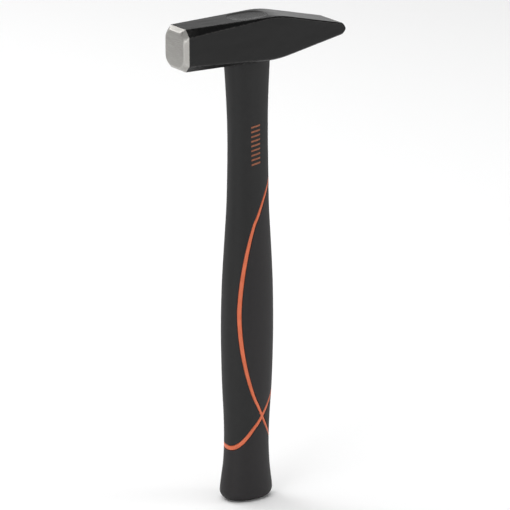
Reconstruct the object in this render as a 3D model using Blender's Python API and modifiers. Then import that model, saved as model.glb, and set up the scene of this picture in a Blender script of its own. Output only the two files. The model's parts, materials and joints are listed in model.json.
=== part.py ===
"""Cross-peen engineer's hammer: a 500 g forged head bonded to a fibreglass-cored handle.

Metres, +Z up the handle. The origin is the middle of the flat butt end, on the handle's axis.
-X points to the striking face, +X to the peen, and Y runs across the cheeks.
"""

import math

import bmesh
import bpy
from mathutils import Vector

# ---- Clearances ----
GAP = 0.0003             # kept between meshes that touch on the real hammer
OVERCUT = 0.004          # how far a cutter runs past what it cuts

# ---- Head ----
HANDLE_LENGTH = 0.2920   # butt end to the head's underside
FACE_REACH = 0.0534      # handle axis to the striking face
PEEN_REACH = 0.0656      # handle axis to the peen's nose
HEAD_WIDTH = 0.0270      # across the cheeks
UNDERSIDE_SLOPE = 0.0165  # the underside rises this much for each metre towards the peen
FACE_TOP_RISE = 0.0268   # top of the head over the handle, at the striking face
RIDGE_RISE = 0.0286      # and at the ridge, before it is rounded
RIDGE_X = 0.0168         # where the body ends and the peen's wedge begins
RIDGE_ROUND = 0.0075     # the ridge is rounded this far to each side
RIDGE_STEPS = 4
CORNER_CHAMFER = 0.0045  # on the body's long corners, at the face
RIDGE_CHAMFER = 0.0008   # what is left of it at the ridge and along the peen
FACE_BEVEL = 0.0026      # ground bevel around the striking face
FACE_CROWN = 0.0002      # rise of the striking face
CROWN_BORDER = 0.0038    # from the bevel in to the flat middle of the face
PEEN_THICKNESS = 0.0076  # of the wedge where its rounded nose begins
NOSE_RISE = 0.0144       # middle of the nose over the handle
NOSE_BULGE = 0.0023      # how far the rounded nose stands out
NOSE_STEPS = 4
EDGE_ROUND = 0.0003

# ---- Eye and what fills it ----
EYE_DEPTH = 0.0256       # along the head, at the eye's waist
EYE_WIDTH = 0.0172       # across the head, at the waist
EYE_FLARE = 0.0006       # each wall leans out this much towards top and bottom
EYE_SQUARENESS = 2.6
EYE_SEGMENTS = 32
BOND_LINE = 0.0015       # resin between the eye and the handle's tang
TANG_WALL = 0.0030       # hard jacket around the core inside the eye
TANG_LENGTH = 0.0160     # how far the jacket's tang enters the eye
SEAL_HEIGHT = 0.0035
SEAL_SET_IN = 0.0004     # from the head's underside up to the seal
FILL_DISH = 0.0006       # the resin's top lies this much under the head's top
CORE_COVER = 0.0050      # resin above the core's end

# ---- Handle ----
SKIN = 0.0022            # soft grip
BUTT_FLOOR = 0.0050      # soft grip under the jacket
JACKET_FLOOR = 0.0060    # jacket under the core
BUTT_ROUND_UP = 0.0064   # the butt's rounded rim: its height
BUTT_ROUND_IN = 0.0064   # and how far it reaches in from the side
NECK_SHOULDER = 0.0016   # the neck stands out this much beyond the eye's mouth
BUTT_SQUARENESS = 2.2
NECK_SQUARENESS = 2.5
# Share of the length up from the butt, cover over the core fore and aft, cover at the sides,
# and how far the section is set towards the peen. The last one meets the eye's mouth.
SECTIONS = (
    (0.000, 0.00980, 0.00925, -0.0009),
    (0.027, 0.00940, 0.00915, -0.0008),
    (0.048, 0.00860, 0.00880, -0.0008),
    (0.082, 0.00735, 0.00810, -0.0006),
    (0.130, 0.00670, 0.00775, -0.0005),
    (0.189, 0.00710, 0.00795, -0.0003),
    (0.254, 0.00820, 0.00865, -0.0001),
    (0.315, 0.00885, 0.00900, 0.0000),
    (0.401, 0.00920, 0.00920, 0.0001),
    (0.497, 0.00865, 0.00870, 0.0003),
    (0.583, 0.00730, 0.00760, 0.0005),
    (0.669, 0.00585, 0.00630, 0.0006),
    (0.748, 0.00530, 0.00570, 0.0007),
    (0.833, 0.00505, 0.00540, 0.0006),
    (0.909, 0.00540, 0.00580, 0.0003),
)
HANDLE_SEGMENTS = 40
HANDLE_RINGS = 26
INSIDE_SEGMENTS = 24
INSIDE_RINGS = 12
RIM_STEPS = 5

# ---- Orange loops in the grip ----
LEAF_MIDDLE = 0.1276     # height of the leaf's widest place
LEAF_HALF_LENGTH = 0.0885
LEAF_WRAP = 132.0        # degrees that the leaf reaches round from the rear edge, each way
LEAF_POINT = 1.20        # above 1 the leaf's ends grow more pointed
LOOP_FRONT = 0.0363      # height of the tilted loop at the front edge
LOOP_REAR = 0.0758       # and at the rear edge
LOOP_DIP = 1.4           # above 1 the loop stays low around the front
BAND_WIDE = 0.0029       # band width where a loop swings furthest forward
BAND_NARROW = 0.0015     # band width at the rear edge
LEAF_SAMPLES = 88
LOOP_SAMPLES = 56

# ---- Derived ----
EYE_HALF = Vector((EYE_DEPTH / 2, EYE_WIDTH / 2))
TANG_HALF = EYE_HALF - Vector((BOND_LINE, BOND_LINE))
CORE_HALF = TANG_HALF - Vector((TANG_WALL, TANG_WALL))
NECK_COVER = EYE_FLARE + NECK_SHOULDER + BOND_LINE + TANG_WALL
HEAD_TOP = HANDLE_LENGTH + RIDGE_RISE
NECK_FRONT = -(CORE_HALF.x + NECK_COVER)
TANG_TOP = HANDLE_LENGTH + TANG_LENGTH
CORE_FOOT = BUTT_FLOOR + GAP + JACKET_FLOOR
SKIN_TOP = HANDLE_LENGTH - GAP


def new_collection(name, parent):
    collection = bpy.data.collections.new(name)
    parent.children.link(collection)
    return collection


def start_scene():
    """Empties the scene and returns the collections for the parts and for the cutters."""
    for obj in list(bpy.data.objects):
        bpy.data.objects.remove(obj, do_unlink=True)
    root = bpy.context.scene.collection
    return new_collection("cross_peen_hammer", root), new_collection("cutters", root)


def new_material(name, colour, roughness, metallic=0.0):
    material = bpy.data.materials.new(name)
    material.use_nodes = True
    shader = material.node_tree.nodes["Principled BSDF"]
    shader.inputs["Base Color"].default_value = (*colour, 1.0)
    shader.inputs["Roughness"].default_value = roughness
    shader.inputs["Metallic"].default_value = metallic
    return material


def new_object(name, mesh, collection, material=None):
    obj = bpy.data.objects.new(name, mesh)
    collection.objects.link(obj)
    if material:
        mesh.materials.clear()
        mesh.materials.append(material)
    return obj


def new_cutter(name, mesh, cutters):
    cutter = new_object(name, mesh, cutters)
    cutter.hide_render = True
    cutter.display_type = "WIRE"
    return cutter


def cut(obj, cutter, operation="DIFFERENCE"):
    modifier = obj.modifiers.new(f"{operation.lower()}_{cutter.name}", "BOOLEAN")
    modifier.solver = "EXACT"
    modifier.operation = operation
    modifier.object = cutter


def evaluated_mesh(obj):
    """The object's mesh with its modifiers applied."""
    graph = bpy.context.evaluated_depsgraph_get()
    return bpy.data.meshes.new_from_object(obj.evaluated_get(graph))


def shade_round(mesh, angle=35.0):
    mesh.shade_smooth()
    mesh.set_sharp_from_angle(angle=math.radians(angle))


def loft(name, rings, closed=False):
    """A solid through rings of points: capped at both ends, or closed into a hoop."""
    bm = bmesh.new()
    rows = [[bm.verts.new(point) for point in ring] for ring in rings]
    pairs = list(zip(rows, rows[1:]))
    if closed:
        pairs.append((rows[-1], rows[0]))
    else:
        bm.faces.new(rows[0])
        bm.faces.new(rows[-1])
    for low, high in pairs:
        for i in range(len(low)):
            j = (i + 1) % len(low)
            bm.faces.new((low[i], low[j], high[j], high[i]))
    bmesh.ops.recalc_face_normals(bm, faces=bm.faces)
    bmesh.ops.triangulate(bm, faces=bm.faces)  # the cuts need flat faces
    mesh = bpy.data.meshes.new(name)
    bm.to_mesh(mesh)
    bm.free()
    return mesh


# ---- Handle surface ----
def smooth_value(points, at):
    """A smooth curve through (position, value) points, read at one position."""
    last = len(points) - 1
    k = max(i for i in range(last) if points[i][0] <= at or i == 0)

    def slope(i):
        a, b = max(i - 1, 0), min(i + 1, last)
        return (points[b][1] - points[a][1]) / (points[b][0] - points[a][0])

    span = points[k + 1][0] - points[k][0]
    t = (at - points[k][0]) / span
    rise = points[k + 1][1] - points[k][1]
    a = slope(k) * span - rise
    b = rise - slope(k + 1) * span
    return points[k][1] + t * rise + t * (1 - t) * ((1 - t) * a + t * b)


def handle_section(z):
    """Half depth, half thickness, offset and squareness of the handle at a height."""
    share = min(z / HANDLE_LENGTH, 1.0)
    rows = SECTIONS + ((1.0, NECK_COVER, NECK_COVER, 0.0),)
    depth, side, offset = (smooth_value([(r[0], r[i]) for r in rows], share) for i in (1, 2, 3))
    squareness = BUTT_SQUARENESS + (NECK_SQUARENESS - BUTT_SQUARENESS) * share**2
    return CORE_HALF.x + depth, CORE_HALF.y + side, offset, squareness


def oval_point(half_x, half_y, squareness, angle):
    """A point of an oval that grows squarer as squareness passes 2. Angle 0 is +X."""
    c, s = math.cos(angle), math.sin(angle)
    x = math.copysign(abs(c) ** (2 / squareness), c)
    y = math.copysign(abs(s) ** (2 / squareness), s)
    return half_x * x, half_y * y


def handle_point(z, angle, inset=0.0):
    """A point of the handle's surface, or of one that lies the inset further in."""
    depth, side, offset, squareness = handle_section(z)
    x, y = oval_point(depth - inset, side - inset, squareness, angle)
    return Vector((offset + x, y, z))


def handle_ring(z, inset, segments):
    return [handle_point(z, 2 * math.pi * i / segments, inset) for i in range(segments)]


def evenly(low, high, steps):
    return [low + (high - low) * i / steps for i in range(steps + 1)]


def handle_solid(name):
    """The handle's outer shape below the head, with a rounded rim at the butt."""
    rings = []
    for i in range(RIM_STEPS):
        turn = math.pi / 2 * i / RIM_STEPS
        z, inset = BUTT_ROUND_UP * (1 - math.cos(turn)), BUTT_ROUND_IN * (1 - math.sin(turn))
        rings.append(handle_ring(z, inset, HANDLE_SEGMENTS))
    for z in evenly(BUTT_ROUND_UP, SKIN_TOP, HANDLE_RINGS):
        rings.append(handle_ring(z, 0.0, HANDLE_SEGMENTS))
    return loft(name, rings)


def inner_solid(name, inset, foot, top):
    """The handle's shape at an inset, between two heights, with rings at shared heights."""
    between = [z for z in evenly(BUTT_FLOOR, SKIN_TOP, INSIDE_RINGS) if foot < z < top]
    rings = [handle_ring(z, inset, INSIDE_SEGMENTS) for z in (foot, *between, top)]
    return loft(name, rings)


# ---- Eye, tang and core ----
def oval_ring(half, grow, z):
    ring = []
    for i in range(EYE_SEGMENTS):
        angle = 2 * math.pi * i / EYE_SEGMENTS
        x, y = oval_point(half.x + grow, half.y + grow, EYE_SQUARENESS, angle)
        ring.append(Vector((x, y, z)))
    return ring


def oval_rod(name, half, foot, top, grow=0.0):
    """A straight oval rod; half holds its half depth and half width."""
    return loft(name, [oval_ring(half, grow, z) for z in (foot, top)])


def eye_solid(name, grow, foot, top):
    """The eye's hourglass shape: narrowest halfway up the head, wider towards both mouths."""
    waist = (HANDLE_LENGTH + HEAD_TOP) / 2
    heights = [z for z in (foot, waist, top) if foot <= z <= top]
    flares = [EYE_FLARE * abs(z - waist) / (RIDGE_RISE / 2) for z in heights]
    return loft(name, [oval_ring(EYE_HALF, flare + grow, z) for z, flare in zip(heights, flares)])


# ---- Head ----
def head_ring(x, low, high, half_width, chamfer):
    """An eight-sided section across the head, its corners cut by the chamfer."""
    y, z = half_width - chamfer, chamfer
    corners = ((half_width, low + z), (half_width, high - z), (y, high), (-y, high),
               (-half_width, high - z), (-half_width, low + z), (-y, low), (y, low))
    return [Vector((x, across, height)) for across, height in corners]


def underside(x):
    """Height of the body's underside; the handle's neck meets it at its front edge."""
    return HANDLE_LENGTH + UNDERSIDE_SLOPE * (x - NECK_FRONT)


def nose_rings():
    """Sections of the rounded nose, from where the wedge ends to the tip."""
    tip = PEEN_THICKNESS / 2
    radius = (tip**2 + NOSE_BULGE**2) / (2 * NOSE_BULGE)
    widest = math.asin(tip / radius)
    rings = []
    for i in range(NOSE_STEPS):
        angle = widest * (1 - i / NOSE_STEPS)
        x = PEEN_REACH - radius * (math.cos(widest / NOSE_STEPS) - math.cos(angle))
        rise = radius * math.sin(angle)
        rings.append((x, HANDLE_LENGTH + NOSE_RISE - rise, HANDLE_LENGTH + NOSE_RISE + rise))
    return rings


def head_mesh():
    """Body and wedge as one loft along X, from the crowned face to the rounded nose."""
    half, face_top = HEAD_WIDTH / 2, HANDLE_LENGTH + FACE_TOP_RISE
    rings = []
    for x, inset in ((-FACE_REACH, FACE_BEVEL + CROWN_BORDER),
                     (-FACE_REACH + FACE_CROWN, FACE_BEVEL),
                     (-FACE_REACH + FACE_CROWN + FACE_BEVEL, 0.0)):
        chamfer = CORNER_CHAMFER * (1 - inset / half)
        rings.append(head_ring(x, underside(x) + inset, face_top - inset, half - inset, chamfer))
    nose = nose_rings()
    body_x, wedge_x = -FACE_REACH + FACE_CROWN + FACE_BEVEL, nose[0][0]
    ridge = Vector((RIDGE_X, underside(RIDGE_X), HEAD_TOP))
    before = Vector((body_x, underside(body_x), face_top))
    after = Vector(nose[0])
    before = ridge.lerp(before, RIDGE_ROUND / (RIDGE_X - body_x))
    after = ridge.lerp(after, RIDGE_ROUND / (wedge_x - RIDGE_X))
    for t in evenly(0.0, 1.0, RIDGE_STEPS):
        x, low, high = before * (1 - t)**2 + ridge * 2 * t * (1 - t) + after * t**2
        rings.append(head_ring(x, low, high, half, RIDGE_CHAMFER))
    rings += [head_ring(x, low, high, half, RIDGE_CHAMFER) for x, low, high in nose]
    return loft("hammer_head", rings)


def build_head(parts, cutters, paint):
    head = new_object("hammer_head", head_mesh(), parts, paint)
    bevel = head.modifiers.new("eased_edges", "BEVEL")
    bevel.width = EDGE_ROUND
    bevel.segments = 2
    bevel.limit_method = "ANGLE"
    bevel.angle_limit = math.radians(22)
    eye = eye_solid("cut_eye", 0.0, HANDLE_LENGTH - OVERCUT, HEAD_TOP + OVERCUT)
    cut(head, new_cutter("cut_eye", eye, cutters))
    shade_round(head.data, 22.0)
    return head


def build_core(parts, fibreglass):
    mesh = oval_rod("fibreglass_core", CORE_HALF, CORE_FOOT, HEAD_TOP - FILL_DISH - CORE_COVER)
    shade_round(mesh)
    return new_object("fibreglass_core", mesh, parts, fibreglass)


def build_jacket(parts, cutters, plastic):
    """Hard body under the grip, its tang standing in the eye, bored for the core from above."""
    body = inner_solid("core_jacket", SKIN + GAP, BUTT_FLOOR + GAP, SKIN_TOP)
    jacket = new_object("core_jacket", body, parts, plastic)
    tang = oval_rod("join_tang", TANG_HALF, HANDLE_LENGTH - OVERCUT, TANG_TOP)
    cut(jacket, new_cutter("join_tang", tang, cutters), "UNION")
    bore = oval_rod("cut_core_bore", CORE_HALF, CORE_FOOT - GAP, TANG_TOP + OVERCUT, GAP)
    cut(jacket, new_cutter("cut_core_bore", bore, cutters))
    shade_round(jacket.data)
    return jacket


def build_eye_fill(parts, cutters, resin, rubber):
    """Resin between the eye and the tang and over the core's end, and the dam ring under it."""
    seal_foot = HANDLE_LENGTH + SEAL_SET_IN
    seal_top = seal_foot + SEAL_HEIGHT
    seal = new_object("eye_seal", eye_solid("eye_seal", -GAP, seal_foot, seal_top), parts, rubber)
    fill_mesh = eye_solid("eye_fill", -GAP, seal_top + GAP, HEAD_TOP - FILL_DISH)
    fill = new_object("eye_fill", fill_mesh, parts, resin)
    tang = oval_rod("cut_tang", TANG_HALF, HANDLE_LENGTH - OVERCUT, TANG_TOP + GAP, GAP)
    tang_cutter = new_cutter("cut_tang", tang, cutters)
    core_top = HEAD_TOP - FILL_DISH - CORE_COVER + GAP
    core = oval_rod("cut_core", CORE_HALF, HANDLE_LENGTH, core_top, GAP)
    cut(seal, tang_cutter)
    cut(fill, tang_cutter)
    cut(fill, new_cutter("cut_core", core, cutters))
    for obj in (seal, fill):
        shade_round(obj.data)
    return seal, fill


# ---- Orange loops ----
def leaf_path(turn):
    """Height, angle and width along the leaf's outline; it starts at the top of the rear edge."""
    up = math.copysign(abs(math.cos(turn)) ** LEAF_POINT, math.cos(turn))
    z = LEAF_MIDDLE + LEAF_HALF_LENGTH * up
    angle = math.radians(LEAF_WRAP) * math.sin(turn)
    return z, angle, abs(math.sin(turn)) ** 1.3


def tilted_path(turn):
    """Height, angle and width along the tilted loop, which goes once round the handle."""
    front = (1 - math.cos(turn)) / 2
    rise = (1 - front) ** LOOP_DIP
    return LOOP_FRONT + (LOOP_REAR - LOOP_FRONT) * rise, turn, front**0.7


def surface_frame(path, turn):
    """A point of the path on the handle, the direction out of the surface, and the one across it."""
    step = 1e-4
    z, angle, share = path(turn)
    here = handle_point(z, angle)
    before, after = (handle_point(*path(turn + d)[:2]) for d in (-step, step))
    around = handle_point(z, angle + step) - handle_point(z, angle - step)
    along = handle_point(z + step, angle) - handle_point(z - step, angle)
    out = around.cross(along).normalized()
    across = (after - before).cross(out).normalized()
    width = BAND_NARROW + (BAND_WIDE - BAND_NARROW) * share
    return here, out, across, width


def band_solid(name, path, samples, grow=0.0):
    """A closed band that stands through the skin and follows a path around the handle."""
    deep, proud = SKIN + GAP + 0.0008, 0.0010
    rings = []
    for i in range(samples):
        here, out, across, width = surface_frame(path, 2 * math.pi * (i + 0.5) / samples)
        side = across * (width / 2 + grow)
        rings.append([here + side - out * deep, here + side + out * proud,
                      here - side + out * proud, here - side - out * deep])
    return loft(name, rings, closed=True)


def separate_bodies(mesh):
    """One mesh for each separate body in this one, the lowest topped first."""
    whole = bmesh.new()
    whole.from_mesh(mesh)
    left = set(whole.verts)
    bodies = []
    while left:
        found = {left.pop()}
        edge = list(found)
        while edge:
            beside = {vert for link in edge.pop().link_edges for vert in link.verts} & left
            left -= beside
            found |= beside
            edge += beside
        kept = {vert.index for vert in found}
        body = whole.copy()
        others = [vert for vert in body.verts if vert.index not in kept]
        bmesh.ops.delete(body, geom=others, context="VERTS")
        made = bpy.data.meshes.new("body")
        body.to_mesh(made)
        body.free()
        bodies.append(made)
    whole.free()
    return sorted(bodies, key=lambda made: max(vert.co.z for vert in made.vertices))


def build_bands(cutters, width, grow):
    """Both loops as one cutter, wider by the growth on each side."""
    leaf = new_cutter(f"leaf_{width}", band_solid("leaf", leaf_path, LEAF_SAMPLES, grow), cutters)
    loop = new_cutter(f"loop_{width}", band_solid("loop", tilted_path, LOOP_SAMPLES, grow), cutters)
    cut(leaf, loop, "UNION")
    return leaf


def build_grip(parts, cutters, soft, orange):
    """Cuts one skin into the panels between the loops, and the loops out of the same skin."""
    skin = new_cutter("whole_skin", handle_solid("whole_skin"), cutters)
    hollow = inner_solid("cut_jacket", SKIN, BUTT_FLOOR, SKIN_TOP + OVERCUT)
    cut(skin, new_cutter("cut_jacket", hollow, cutters))

    inlay = new_object("accent_inlay", evaluated_mesh(skin), parts, orange)
    cut(inlay, build_bands(cutters, "narrow", 0.0), "INTERSECT")
    shade_round(inlay.data)

    split = new_cutter("split_skin", evaluated_mesh(skin), cutters)
    cut(split, build_bands(cutters, "wide", GAP))
    names = ("grip_butt", "grip_heel", "grip_palm", "grip_upper")
    for name, mesh in zip(names, separate_bodies(evaluated_mesh(split)), strict=True):
        mesh.name = name
        shade_round(mesh)
        new_object(name, mesh, parts, soft)


def main():
    parts, cutters = start_scene()
    lacquer = new_material("black_lacquer", (0.020, 0.020, 0.021), 0.22)
    fibreglass = new_material("fibreglass", (0.72, 0.70, 0.52), 0.50)
    plastic = new_material("hard_plastic", (0.030, 0.030, 0.031), 0.45)
    resin = new_material("cast_resin", (0.022, 0.022, 0.022), 0.35)
    rubber = new_material("seal_rubber", (0.028, 0.028, 0.028), 0.80)
    soft = new_material("soft_grip", (0.040, 0.040, 0.042), 0.70)
    orange = new_material("orange_accent", (0.745, 0.150, 0.050), 0.45)
    build_head(parts, cutters, lacquer)
    build_core(parts, fibreglass)
    build_jacket(parts, cutters, plastic)
    build_eye_fill(parts, cutters, resin, rubber)
    build_grip(parts, cutters, soft, orange)


main()
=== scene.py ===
import json
import math

import bmesh
import bpy
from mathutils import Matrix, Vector

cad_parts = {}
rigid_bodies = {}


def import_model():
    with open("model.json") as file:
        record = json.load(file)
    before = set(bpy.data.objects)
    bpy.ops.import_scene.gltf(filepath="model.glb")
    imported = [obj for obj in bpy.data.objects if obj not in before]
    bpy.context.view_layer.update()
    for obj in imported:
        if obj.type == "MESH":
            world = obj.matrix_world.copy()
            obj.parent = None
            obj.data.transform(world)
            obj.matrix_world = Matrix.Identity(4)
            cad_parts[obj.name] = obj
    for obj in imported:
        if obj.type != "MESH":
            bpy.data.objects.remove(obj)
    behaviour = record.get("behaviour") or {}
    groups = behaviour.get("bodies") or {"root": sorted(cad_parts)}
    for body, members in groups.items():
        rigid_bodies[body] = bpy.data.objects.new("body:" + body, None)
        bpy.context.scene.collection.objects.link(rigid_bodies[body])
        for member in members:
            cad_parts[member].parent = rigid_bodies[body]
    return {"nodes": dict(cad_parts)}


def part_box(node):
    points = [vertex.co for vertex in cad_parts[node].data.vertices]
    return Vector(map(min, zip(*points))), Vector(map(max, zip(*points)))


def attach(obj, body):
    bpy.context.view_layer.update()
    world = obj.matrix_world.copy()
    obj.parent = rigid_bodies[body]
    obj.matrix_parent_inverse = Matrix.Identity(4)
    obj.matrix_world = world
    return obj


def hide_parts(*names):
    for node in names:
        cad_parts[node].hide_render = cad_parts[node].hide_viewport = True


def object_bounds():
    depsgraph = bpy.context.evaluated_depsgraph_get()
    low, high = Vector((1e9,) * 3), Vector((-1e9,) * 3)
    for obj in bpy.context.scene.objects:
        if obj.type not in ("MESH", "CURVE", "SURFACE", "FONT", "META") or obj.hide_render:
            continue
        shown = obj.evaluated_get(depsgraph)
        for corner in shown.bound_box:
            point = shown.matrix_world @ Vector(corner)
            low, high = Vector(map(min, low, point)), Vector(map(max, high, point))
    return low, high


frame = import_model()
cadLow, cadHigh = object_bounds()
mm = 0.001
weld = 0.001 * mm                              # points closer than this are one
smoothAngle = 40                               # degrees; sharper edges stay crisp
nodeGap = (190, 170)                           # spacing of the nodes in the material editor

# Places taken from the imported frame
seam = 0.3 * mm                                # gap between the pieces of the frame
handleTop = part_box("grip_upper")[1].z + seam
headHalf = cadHigh.y                           # half the width across the cheeks
faceX = cadLow.x
peenX = cadHigh.x


def deselectAll():
    for thing in bpy.data.objects:
        thing.select_set(False)
    bpy.context.view_layer.objects.active = None


def openUp(piece):                             # one piece alone, in edit mode
    deselectAll()
    bpy.context.view_layer.objects.active = piece
    piece.select_set(True)
    bpy.ops.object.mode_set(mode="EDIT")


def closeUp():
    bpy.ops.object.mode_set(mode="OBJECT")


def startRing(name, points):
    # A filled ring, left in edit mode. Each point remembers its place round the ring.
    deselectAll()
    bpy.ops.mesh.primitive_circle_add(vertices=len(points), radius=1, fill_type="NGON")
    piece = bpy.context.object
    piece.name = piece.data.name = name
    bpy.ops.object.mode_set(mode="EDIT")
    mesh = bmesh.from_edit_mesh(piece.data)
    place = mesh.verts.layers.int.new("place")
    for number, vert in enumerate(mesh.verts):
        vert[place] = number
        vert.co = points[number]
    bmesh.update_edit_mesh(piece.data)
    return piece


def growRing(piece, points):
    # Extrudes the open end and sets the new ring on its points.
    bpy.ops.mesh.extrude_region_move()
    mesh = bmesh.from_edit_mesh(piece.data)
    place = mesh.verts.layers.int["place"]
    for vert in mesh.verts:
        if vert.select:
            vert.co = points[vert[place]]
    bmesh.update_edit_mesh(piece.data)


def growBody(name, rings):
    # A closed body grown from ring to ring.
    piece = startRing(name, rings[0])
    for points in rings[1:]:
        growRing(piece, points)
    bpy.ops.mesh.select_all(action="SELECT")
    bpy.ops.mesh.normals_make_consistent(inside=False)
    bpy.ops.mesh.quads_convert_to_tris(quad_method="SHORTEST_DIAGONAL", ngon_method="BEAUTY")
    closeUp()
    piece.data.attributes.remove(piece.data.attributes["place"])
    return piece


def cutWith(piece, tool, how="DIFFERENCE"):
    deselectAll()
    bpy.context.view_layer.objects.active = piece
    bpy.ops.object.modifier_add(type="BOOLEAN")
    cut = piece.modifiers[-1]
    cut.solver = "EXACT"
    cut.operation = how
    cut.object = tool
    bpy.ops.object.modifier_apply(modifier=cut.name)
    bpy.data.objects.remove(tool)


def shadeRound(piece, angle=smoothAngle):
    # Smooth shading that leans on the large faces, so that small rounded edges stay crisp.
    deselectAll()
    piece.select_set(True)
    bpy.context.view_layer.objects.active = piece
    bpy.ops.object.shade_smooth_by_angle(angle=math.radians(angle))
    bpy.ops.object.modifier_add(type="WEIGHTED_NORMAL")
    weigh = piece.modifiers[-1]
    weigh.keep_sharp = True
    bpy.ops.object.modifier_apply(modifier=weigh.name)


def fitPiece(piece, slot, materials, *nodes):
    piece.data.materials.clear()
    for material in materials:
        piece.data.materials.append(material)
    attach(piece, "root")
    if nodes:
        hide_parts(*nodes)
    return piece


def evenly(start, end, steps):
    return [start + (end - start) * step / steps for step in range(steps + 1)]


def ovalPoint(halfDepth, halfWidth, squareness, turn):
    # An oval that grows squarer past 2. Turn 0 points at the peen.
    c, s = math.cos(turn), math.sin(turn)
    x = math.copysign(abs(c) ** (2 / squareness), c)
    y = math.copysign(abs(s) ** (2 / squareness), s)
    return halfDepth * x, halfWidth * y


def addNode(tree, kind, place, inputs=None, **settings):
    node = tree.nodes.new(kind)
    node.location = (place[0] * nodeGap[0], place[1] * nodeGap[1])
    for name, value in settings.items():
        setattr(node, name, value)
    for name, value in (inputs or {}).items():
        node.inputs[name].default_value = value
    return node


def rampOf(node, stops):
    # Sets a colour ramp from (position, grey or colour) stops.
    ramp = node.color_ramp
    while len(ramp.elements) > 1:
        ramp.elements.remove(ramp.elements[-1])
    for number, (position, shade) in enumerate(stops):
        stop = ramp.elements[0] if number == 0 else ramp.elements.new(position)
        stop.position = position
        stop.color = (*shade, 1) if isinstance(shade, tuple) else (shade, shade, shade, 1)


def newGroup(name, inputs, outputs):
    group = bpy.data.node_groups.new(name, "ShaderNodeTree")
    for label, kind, value in inputs:
        socket = group.interface.new_socket(label, in_out="INPUT", socket_type=kind)
        socket.default_value = value
    for label, kind in outputs:
        group.interface.new_socket(label, in_out="OUTPUT", socket_type=kind)
    return group, addNode(group, "NodeGroupInput", (-5, 0)), addNode(group, "NodeGroupOutput", (5, 0))


def useGroup(tree, group, place, values):
    node = addNode(tree, "ShaderNodeGroup", place, node_tree=group)
    for name, value in values.items():
        node.inputs[name].default_value = value
    return node


def newMaterial(name):
    material = bpy.data.materials.new(name)
    material.use_nodes = True
    tree = material.node_tree
    shader = tree.nodes["Principled BSDF"]
    shader.location = (1200, 0)
    tree.nodes["Material Output"].location = (1500, 0)
    return material, tree, shader


def mottleGroup():
    # Two sizes of noise as one mask, with a height for bump: paint skin, moulded grain, cast resin.
    group, start, end = newGroup(
        "mottle",
        [("Coarse Scale", "NodeSocketFloat", 90.0), ("Fine Scale", "NodeSocketFloat", 1500.0),
         ("Stretch", "NodeSocketVector", (1, 1, 1)), ("Fine Share", "NodeSocketFloat", 0.4)],
        [("Mask", "NodeSocketFloat"), ("Coarse", "NodeSocketFloat")])
    where = addNode(group, "ShaderNodeTexCoord", (-4, 1))
    stretch = addNode(group, "ShaderNodeMapping", (-3, 1))
    coarse = addNode(group, "ShaderNodeTexNoise", (-1, 2), {"Detail": 3.0, "Roughness": 0.55})
    fine = addNode(group, "ShaderNodeTexNoise", (-1, 0), {"Detail": 2.0, "Roughness": 0.6})
    mix = addNode(group, "ShaderNodeMix", (2, 1), data_type="FLOAT")
    link = group.links.new
    link(where.outputs["Object"], stretch.inputs["Vector"])
    link(start.outputs["Stretch"], stretch.inputs["Scale"])
    link(stretch.outputs["Vector"], coarse.inputs["Vector"])
    link(stretch.outputs["Vector"], fine.inputs["Vector"])
    link(start.outputs["Coarse Scale"], coarse.inputs["Scale"])
    link(start.outputs["Fine Scale"], fine.inputs["Scale"])
    link(start.outputs["Fine Share"], mix.inputs["Factor"])
    link(coarse.outputs["Fac"], mix.inputs["A"])
    link(fine.outputs["Fac"], mix.inputs["B"])
    link(mix.outputs["Result"], end.inputs["Mask"])
    link(coarse.outputs["Fac"], end.inputs["Coarse"])
    return group


def edgeGroup():
    # A mask along edges, for the painted highlights and sheen there and the lacquer's duller edges. It
    # reads the edge attribute that markEdges writes.
    group, start, end = newGroup(
        "edgeWearAndGlint",
        [("Amount", "NodeSocketFloat", 0.5), ("Break Up", "NodeSocketFloat", 700.0)],
        [("Mask", "NodeSocketFloat")])
    where = addNode(group, "ShaderNodeTexCoord", (-4, -1))
    edge = addNode(group, "ShaderNodeAttribute", (-4, 1), attribute_name="edge")
    patches = addNode(group, "ShaderNodeTexNoise", (-3, -1), {"Detail": 4.0, "Roughness": 0.7})
    spread = addNode(group, "ShaderNodeMapRange", (-1, -1), {"From Min": 0.35, "From Max": 0.65})
    wornAndGlint = addNode(group, "ShaderNodeMath", (1, 0), operation="MULTIPLY")
    scaled = addNode(group, "ShaderNodeMath", (3, 0), operation="MULTIPLY", use_clamp=True)
    link = group.links.new
    link(where.outputs["Object"], patches.inputs["Vector"])
    link(start.outputs["Break Up"], patches.inputs["Scale"])
    link(patches.outputs["Fac"], spread.inputs["Value"])
    link(edge.outputs["Fac"], wornAndGlint.inputs[0])
    link(spread.outputs["Result"], wornAndGlint.inputs[1])
    link(wornAndGlint.outputs["Value"], scaled.inputs[0])
    link(start.outputs["Amount"], scaled.inputs[1])
    link(scaled.outputs["Value"], end.inputs["Mask"])
    return group


mottle = mottleGroup()
edgeWearAndGlint = edgeGroup()


# How sharp an edge must be for the full painted highlight along it.
edgeGlintTurn = {
    "headTurn": 12,           # degrees of turn that count as a full edge on the head
    "gripTurn": 25,           # and on the soft grip
}


def markEdges(piece, fullTurn):
    # Writes how sharply the surface turns at each point, 0 to 1, for the painted highlights along edges.
    mesh = bmesh.new()
    mesh.from_mesh(piece.data)
    sharpness = []
    for vert in mesh.verts:
        turns = [edge.calc_face_angle(0.0) for edge in vert.link_edges]
        sharpness.append(min(1.0, math.degrees(max(turns, default=0.0)) / fullTurn))
    mesh.free()
    edge = piece.data.attributes.new("edge", "FLOAT", "POINT")
    edge.data.foreach_set("value", sharpness)


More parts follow.
